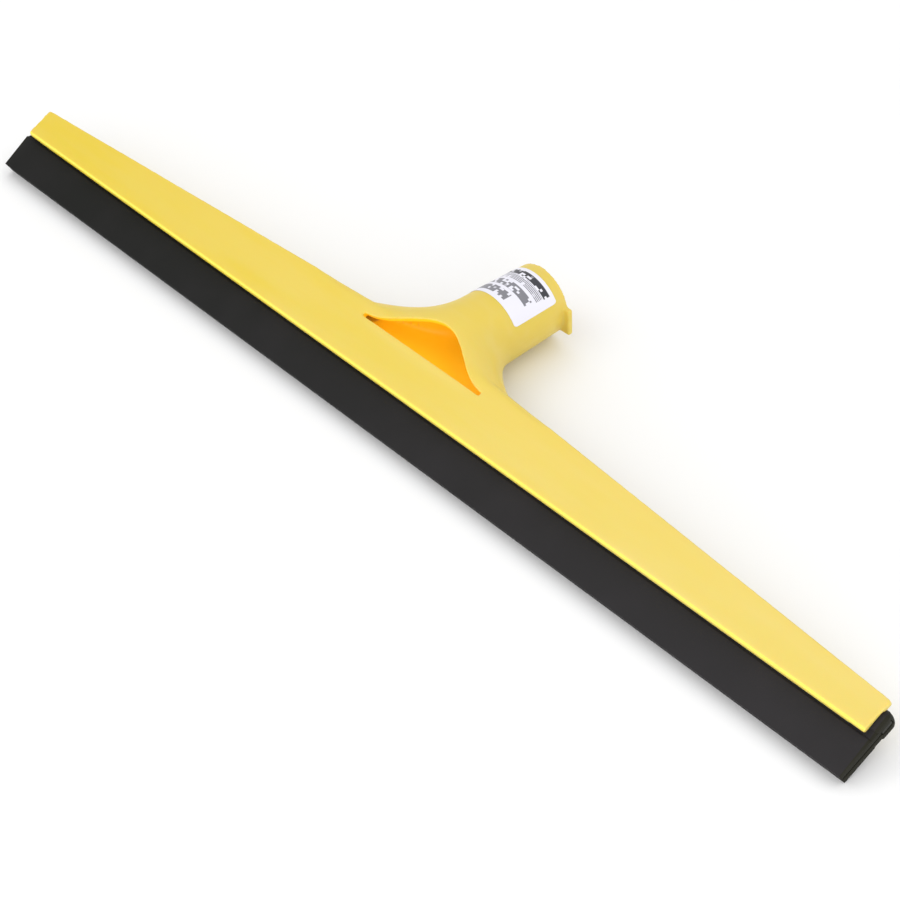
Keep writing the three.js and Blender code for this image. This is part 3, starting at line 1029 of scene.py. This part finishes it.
# the band that the painted edge highlight covers
HIGHLIGHT_TOP = (BAR_BOTTOM + 0.8 * mm, BAR_BOTTOM + 1.5 * mm)
HIGHLIGHT_BACK = (-5.9 * mm, -4.6 * mm)
PARTING_HALF = (0.05 * mm, 0.25 * mm)
PARTING_FROM, PARTING_FADE = 50 * mm, 4 * mm
YELLOW_BUMP = 0.05 * mm


def yellow_plastic():
    finish = Finish("yellow_plastic")
    place = finish.upright_place()
    x, y, z = finish.split(place)
    stretched = finish.node("Mapping", Vector=place, Scale=(0.12, 1, 1))
    flow = finish.noise(stretched, FLOW, 3)
    grain = finish.noise(place, GRAIN, 2)
    cloud = finish.noise(place, CLOUD, 2)
    # painted light: lighter towards the right end, mixed with the real flow lines
    painted_light_and_flow = 0.75 * x.step(*PAINTED_LIGHT_OVER) + 0.25 * flow.step(0.35, 0.7)
    colour = finish.blend(painted_light_and_flow, YELLOW, YELLOW_LIT_AND_FLOW)
    axis_y = (z - on_pole(0).z) * (pole_axis.y / pole_axis.z)
    inside = finish.node("Attribute", output="Fac", settings={"attribute_name": "hollow"})
    # painted highlight along the rounded lower front edge
    edge = (1 - z.step(*HIGHLIGHT_TOP)) * (1 - y.step(*HIGHLIGHT_BACK))
    colour = finish.blend(edge, colour, YELLOW_EDGE_HIGHLIGHT)
    # painted light in the hollow: an amber colour and a weak glow for the light inside the neck
    colour = finish.blend(inside, colour, AMBER_HOLLOW_LIGHT)
    glow = finish.blend(inside, (0, 0, 0, 1), AMBER_HOLLOW_GLOW)
    roughness = 0.36 + 0.08 * cloud + 0.05 * flow
    parting = 1 - abs(y - axis_y).step(*PARTING_HALF)
    on_socket = (z - PARTING_FROM).step(0, PARTING_FADE)
    height = grain * 0.35 + parting * on_socket + flow * 0.25
    return finish.shader(
        Base_Color=colour, Roughness=roughness, IOR=1.49,
        Subsurface_Weight=0.25, Subsurface_Radius=(1.0, 0.55, 0.12), Subsurface_Scale=3 * mm,
        Emission_Color=glow, Emission_Strength=1.0,
        Normal=finish.bump(height, YELLOW_BUMP, 0.6),
    )


yellow = yellow_plastic()
print(yellow.name, len(yellow.node_tree.nodes), "nodes")

# %% [markdown]
# ## Sponge rubber
#
# The strip is black closed-cell sponge with a skin: nearly matt, with fine pits and faint patches where
# the skin has bloomed slightly lighter. It also grows lighter from left to right, which is painted light.
# Its cut ends show the cells and are a little rougher, and their hint of olive is painted light.

# %% Black rubber
RUBBER = (0.0035, 0.0038, 0.0028, 1)
# the second black is lighter: for faint bloomed patches, and for painted light towards the right end
RUBBER_BLOOM_AND_LIGHT = (0.022, 0.020, 0.0215, 1)
# the cut ends' lighter olive is painted light on the end faces
RUBBER_CUT_LIT = (0.020, 0.0195, 0.013, 1)
CELL, SKIN, PATCH = 0.22 * mm, 0.5 * mm, 22 * mm
# the span over which the painted light grows from left to right
RUBBER_LIGHT_OVER = (-220 * mm, 230 * mm)
CUT_FROM, CUT_FADE = REFILL_END - 0.3 * mm, 0.15 * mm
RUBBER_BUMP = 0.06 * mm


def black_rubber():
    finish = Finish("black_rubber")
    place = finish.upright_place()
    x = finish.split(place)[X]
    cells = finish.node("TexVoronoi", Vector=place, Scale=1 / CELL)
    skin = finish.noise(place, SKIN, 3)
    cloud = finish.noise(place, PATCH, 3)
    cut_end = (abs(x) - CUT_FROM).step(0, CUT_FADE)
    # faint bloomed patches, plus painted light that grows from left to right
    bloom_and_painted_light = 0.2 * cloud.step(0.35, 0.75) + 0.8 * x.step(*RUBBER_LIGHT_OVER)
    colour = finish.blend(bloom_and_painted_light, RUBBER, RUBBER_BLOOM_AND_LIGHT)
    # painted light: the cut ends are lighter and olive; their cells and roughness are real
    colour = finish.blend(cut_end, colour, RUBBER_CUT_LIT)
    roughness = 0.62 + 0.12 * cloud + 0.2 * cut_end
    height = skin * 0.6 + cells * (0.25 + 1.2 * cut_end)
    return finish.shader(
        Base_Color=colour, Roughness=roughness, IOR=1.5, Specular_IOR_Level=0.2,
        Normal=finish.bump(height, RUBBER_BUMP, 0.7),
    )


black = black_rubber()
print(black.name, len(black.node_tree.nodes), "nodes")

# %% [markdown]
# ## Core plastic
#
# The core bar is extruded dark grey plastic. Streaks drawn out along it change its grey a little.

# %% Core plastic
CORE_GREY = (0.014, 0.014, 0.010, 1)
CORE_PALE = (0.024, 0.024, 0.017, 1)
STREAK, STREAK_BUMP = 0.4 * mm, 0.03 * mm


def core_plastic():
    finish = Finish("core_plastic")
    place = finish.upright_place()
    drawn = finish.node("Mapping", Vector=place, Scale=(0.02, 1, 1))
    streaks = finish.noise(drawn, STREAK, 3)
    colour = finish.blend(streaks.step(0.3, 0.7), CORE_GREY, CORE_PALE)
    return finish.shader(
        Base_Color=colour, Roughness=0.5 + 0.15 * streaks, Specular_IOR_Level=0.25,
        Normal=finish.bump(streaks, STREAK_BUMP, 0.5),
    )


dark_grey = core_plastic()
print(dark_grey.name, len(dark_grey.node_tree.nodes), "nodes")

# %% [markdown]
# ## The print
#
# The print says nothing: it is a dark band and fine grey lines near the rim, a white dividing
# line, and rows of grey blocks below it, on white film with a faint lilac tone. It is laid out on
# the label's UV map, where U runs along the sticker and V from its lower edge to the rim. Each
# printed area has its span up and along the sheet, the grid of its small cells, and the values of
# a random number between which a cell turns from blank to inked.

# %% Label film
FILM_WHITE = (0.80, 0.79, 0.87, 1)
INK_DARK = (0.03, 0.03, 0.04, 1)
INK_GREY = (0.055, 0.055, 0.07, 1)
DARK_BAND = ((0.78, 0.92), (0.05, 0.93), (46, 21), (0.16, 0.20))
FINE_LINES = ((0.60, 0.76), (0.08, 0.92), (40, 15), (0.10, 0.14))
UPPER_ROW = ((0.36, 0.54), (0.06, 0.90), (44, 22), (0.26, 0.30))
LOWER_ROW = ((0.10, 0.29), (0.06, 0.78), (48, 21), (0.28, 0.32))
LINE_COUNT = 30
INK_EDGE = 0.004
SHEEN, SHEEN_BUMP = 3 * mm, 0.02 * mm


def label_print():
    finish = Finish("label_film")
    sheet = finish.node("TexCoord", output="UV")
    u, v, _ = finish.split(sheet)

    def band(value, low, high):
        rise = value.step(low - INK_EDGE, low + INK_EDGE)
        return rise * (1 - value.step(high - INK_EDGE, high + INK_EDGE))

    def dice(columns, rows):
        """A random number for each cell of a grid over the sheet."""
        across, up = u * columns, v * rows
        cells = finish.node("CombineXYZ", X=across.math("FLOOR", across), Y=up.math("FLOOR", up))
        return finish.node("TexWhiteNoise", settings={"noise_dimensions": "2D"}, Vector=cells)

    def printed(up, along, cells, inked):
        return band(v, *up) * band(u, *along) * dice(*cells).step(*inked)

    lines = v * LINE_COUNT
    stripes = lines.math("FRACT", lines).step(0.45, 0.6)
    blocks = printed(*UPPER_ROW) + printed(*LOWER_ROW)
    colour = finish.blend(printed(*FINE_LINES) * stripes * 0.9, FILM_WHITE, INK_GREY)
    colour = finish.blend(blocks * 0.8, colour, INK_GREY)
    colour = finish.blend(printed(*DARK_BAND), colour, INK_DARK)
    sheen = finish.noise(finish.node("TexCoord", output="Object"), SHEEN, 2)
    return finish.shader(
        Base_Color=colour, Roughness=0.32 + 0.12 * sheen,
        Normal=finish.bump(sheen, SHEEN_BUMP, 0.3),
    )


printed_film = label_print()
print(printed_film.name, len(printed_film.node_tree.nodes), "nodes")

# %% [markdown]
# ## Lay the pieces down and hand them to the frame
#
# Each piece is laid back with the one matrix, gets its finish, replaces its CAD solid and rides on
# its body, so the refill slides out of the channel when the joint moves. The cut pieces keep their
# sharp edges in the shading; the moulding is smooth all over.

# %% Lay, paint and attach
def hand_in(piece, material, node, body):
    piece.data.transform(LAID)
    piece.data.materials.clear()
    piece.data.materials.append(material)
    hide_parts(node)
    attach(piece, body)


for piece in (rubber, core_bar, label):
    only(piece)
    bpy.ops.object.shade_smooth_by_angle(angle=radians(35))

hand_in(head, yellow, "head_moulding", "head")
hand_in(label, printed_film, "label", "head")
hand_in(rubber, black, "blade_rubber", "refill")
hand_in(core_bar, dark_grey, "core_bar", "refill")

# %% [markdown]
# ## Table and light
#
# The table is a plain white plane under the object, and a white sky lights everything softly, as a
# light tent does. One large lamp from the upper left gives the faces their form, one from the right
# lightens that end, and a low one in front lights the rounded lower edges.

# %% Table, sky and lamps
TABLE_WIDTH, TABLE_DROP, TABLE_WHITE = 8, 0.15 * mm, 0.93
SKY_STRENGTH = 1.04


def plain_white(name, level):
    finish = Finish(name)
    return finish.shader(Base_Color=(level, level, level, 1), Roughness=0.9)


def studio():
    bpy.ops.object.select_all(action="DESELECT")
    bpy.ops.mesh.primitive_plane_add(size=TABLE_WIDTH, location=(0, 0, cad_box[0].z - TABLE_DROP))
    table = bpy.context.object
    table.name = "table"
    table.data.materials.append(plain_white("table_white", TABLE_WHITE))
    world = bpy.data.worlds.new("tent")
    world.use_nodes = True
    sky = world.node_tree.nodes["Background"]
    sky.inputs["Color"].default_value = (1, 1, 1, 1)
    sky.inputs["Strength"].default_value = SKY_STRENGTH
    bpy.context.scene.world = world
    bpy.context.scene.view_settings.view_transform = "Standard"


def lamp(name, place, aim, width, power):
    data = bpy.data.lights.new(name, "AREA")
    data.shape, data.size, data.energy = "DISK", width, power
    light = bpy.data.objects.new(name, data)
    bpy.context.scene.collection.objects.link(light)
    light.location = place
    light.rotation_mode = "QUATERNION"
    light.rotation_quaternion = (Vector(aim) - Vector(place)).to_track_quat("-Z", "Y")


studio()
middle = (cad_box[0] + cad_box[1]) / 2
lamp("key", (-0.5, -0.5, 0.9), middle, 0.5, 0.7)
lamp("fill", (0.9, -0.4, 0.35), middle, 0.6, 1.4)
lamp("low_front", (0.3, -0.9, 0.12), middle, 0.35, 2.5)
print("studio ready")
